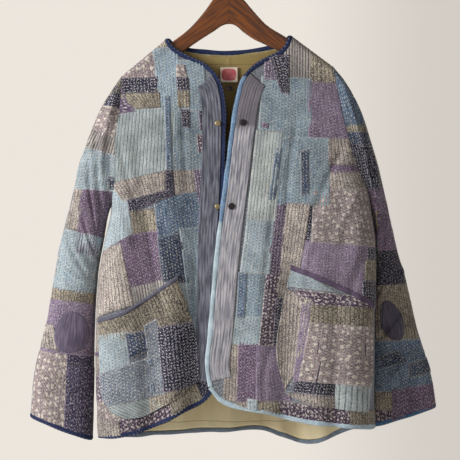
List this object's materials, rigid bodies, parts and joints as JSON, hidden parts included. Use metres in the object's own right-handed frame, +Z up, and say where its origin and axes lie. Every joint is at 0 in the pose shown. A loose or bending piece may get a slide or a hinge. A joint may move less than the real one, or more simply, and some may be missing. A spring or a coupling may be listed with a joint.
{
  "type": "patched boro jacket on a wooden hanger",
  "caption": "Quilted patchwork jacket, open at the front, hanging on a wooden hanger by its wire hook.",
  "frame": {"origin": "where the inside of the hanger's hook bears on a rail", "axes": "+X to the wearer's left, which is the picture's right, +Y to the wearer's back, away from the camera, +Z up"},
  "size_m": [0.7411, 0.1493, 0.8899],
  "materials": {
    "quilted_body": "worn cotton patchwork, quilted",
    "quilted_sleeve": "worn cotton patchwork, quilted",
    "quilted_pocket": "worn cotton patchwork, quilted",
    "lilac_grey_cloth": "washed cotton",
    "charcoal_cloth": "washed cotton",
    "khaki_lining": "plain cotton lining",
    "navy_binding": "folded cotton strip",
    "blue_binding": "folded cotton strip",
    "pale_blue_binding": "folded cotton strip",
    "grey_binding": "folded cotton strip",
    "plum_binding": "folded cotton strip",
    "label_cloth": "bare woven label",
    "navy_tape": "woven tape",
    "dark_snap": "dark lacquered cap",
    "brass_snap": "aged brass",
    "hanger_wood": "satin varnish",
    "hook_steel": "bright wire"
  },
  "bodies": {
    "root": {"back": "quilted_body", "front_right": "quilted_body", "front_left": "quilted_body", "sleeve_right": "quilted_sleeve", "sleeve_left": "quilted_sleeve", "pocket_right": "quilted_pocket", "pocket_left": "quilted_pocket", "front_band_right": "lilac_grey_cloth", "front_band_left": "lilac_grey_cloth", "elbow_patch_right": "lilac_grey_cloth", "elbow_patch_left": "charcoal_cloth", "lining_yoke": "khaki_lining", "lining_hem": "khaki_lining", "neck_binding_back": "navy_binding", "edge_binding_right": "navy_binding", "hem_binding_right": "navy_binding", "cuff_binding_right": "blue_binding", "cuff_binding_left": "blue_binding", "edge_binding_left": "pale_blue_binding", "hem_binding_left": "pale_blue_binding", "hem_binding_back": "pale_blue_binding", "pocket_binding_right": "grey_binding", "pocket_binding_left": "plum_binding", "neck_label": "label_cloth", "neck_loop": "navy_tape", "snap_cap_upper": "dark_snap", "snap_cap_lower": "dark_snap", "snap_socket_upper": "brass_snap", "snap_socket_lower": "brass_snap", "snap_stud_upper": "brass_snap", "snap_stud_lower": "brass_snap", "hanger_wood": "hanger_wood", "hanger_hook": "hook_steel"}
  },
  "joints": []
}
